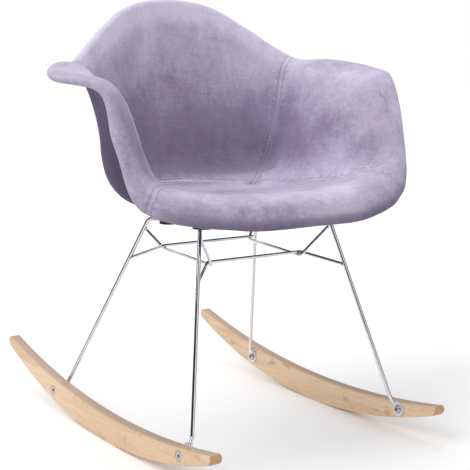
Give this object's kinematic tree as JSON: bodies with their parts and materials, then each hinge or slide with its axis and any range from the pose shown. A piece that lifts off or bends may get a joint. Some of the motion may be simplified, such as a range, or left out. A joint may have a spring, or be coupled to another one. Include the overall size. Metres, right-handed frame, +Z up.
{
  "type": "rocking chair",
  "caption": "Upholstered tub rocking chair: padded velvet armchair shell on a welded wire base with curved wooden rockers.",
  "frame": {"origin": "on the floor under the middle of the chair's bounding box, with the chair at rest", "axes": "front towards -Y, +Z up, +X to the right in a view from the front"},
  "size_m": [0.6152, 0.684, 0.6881],
  "materials": {
    "velvet": "cut pile velvet",
    "foam": "open cell foam",
    "tub": "moulded, matt",
    "outer_fabric": "velvet, dark",
    "welt": "velvet welt",
    "insert": "turned",
    "rubber": "moulded, matt",
    "steel": "zinc plated",
    "chrome": "polished",
    "wood": "clear lacquer on pale beech",
    "bolt": "bright plated"
  },
  "bodies": {
    "root": {"seat_cover": "velvet", "back_cover": "velvet", "left_arm_cover": "velvet", "right_arm_cover": "velvet", "foam_lining": "foam", "tub_shell": "tub", "outer_cover": "outer_fabric", "hem_welt": "welt", "mount_bosses": "tub", "mount_inserts": "insert", "rubber_mounts": "rubber", "rubber_cups": "rubber", "mount_tabs": "steel", "mount_screws": "steel", "front_left_leg": "chrome", "front_right_leg": "chrome", "rear_left_leg": "chrome", "rear_right_leg": "chrome", "front_brace": "chrome", "rear_brace": "chrome", "left_brace": "chrome", "right_brace": "chrome", "foot_plates": "chrome", "left_rocker": "wood", "right_rocker": "wood", "foot_bolts": "bolt", "sleeve_nuts": "bolt"}
  },
  "joints": []
}
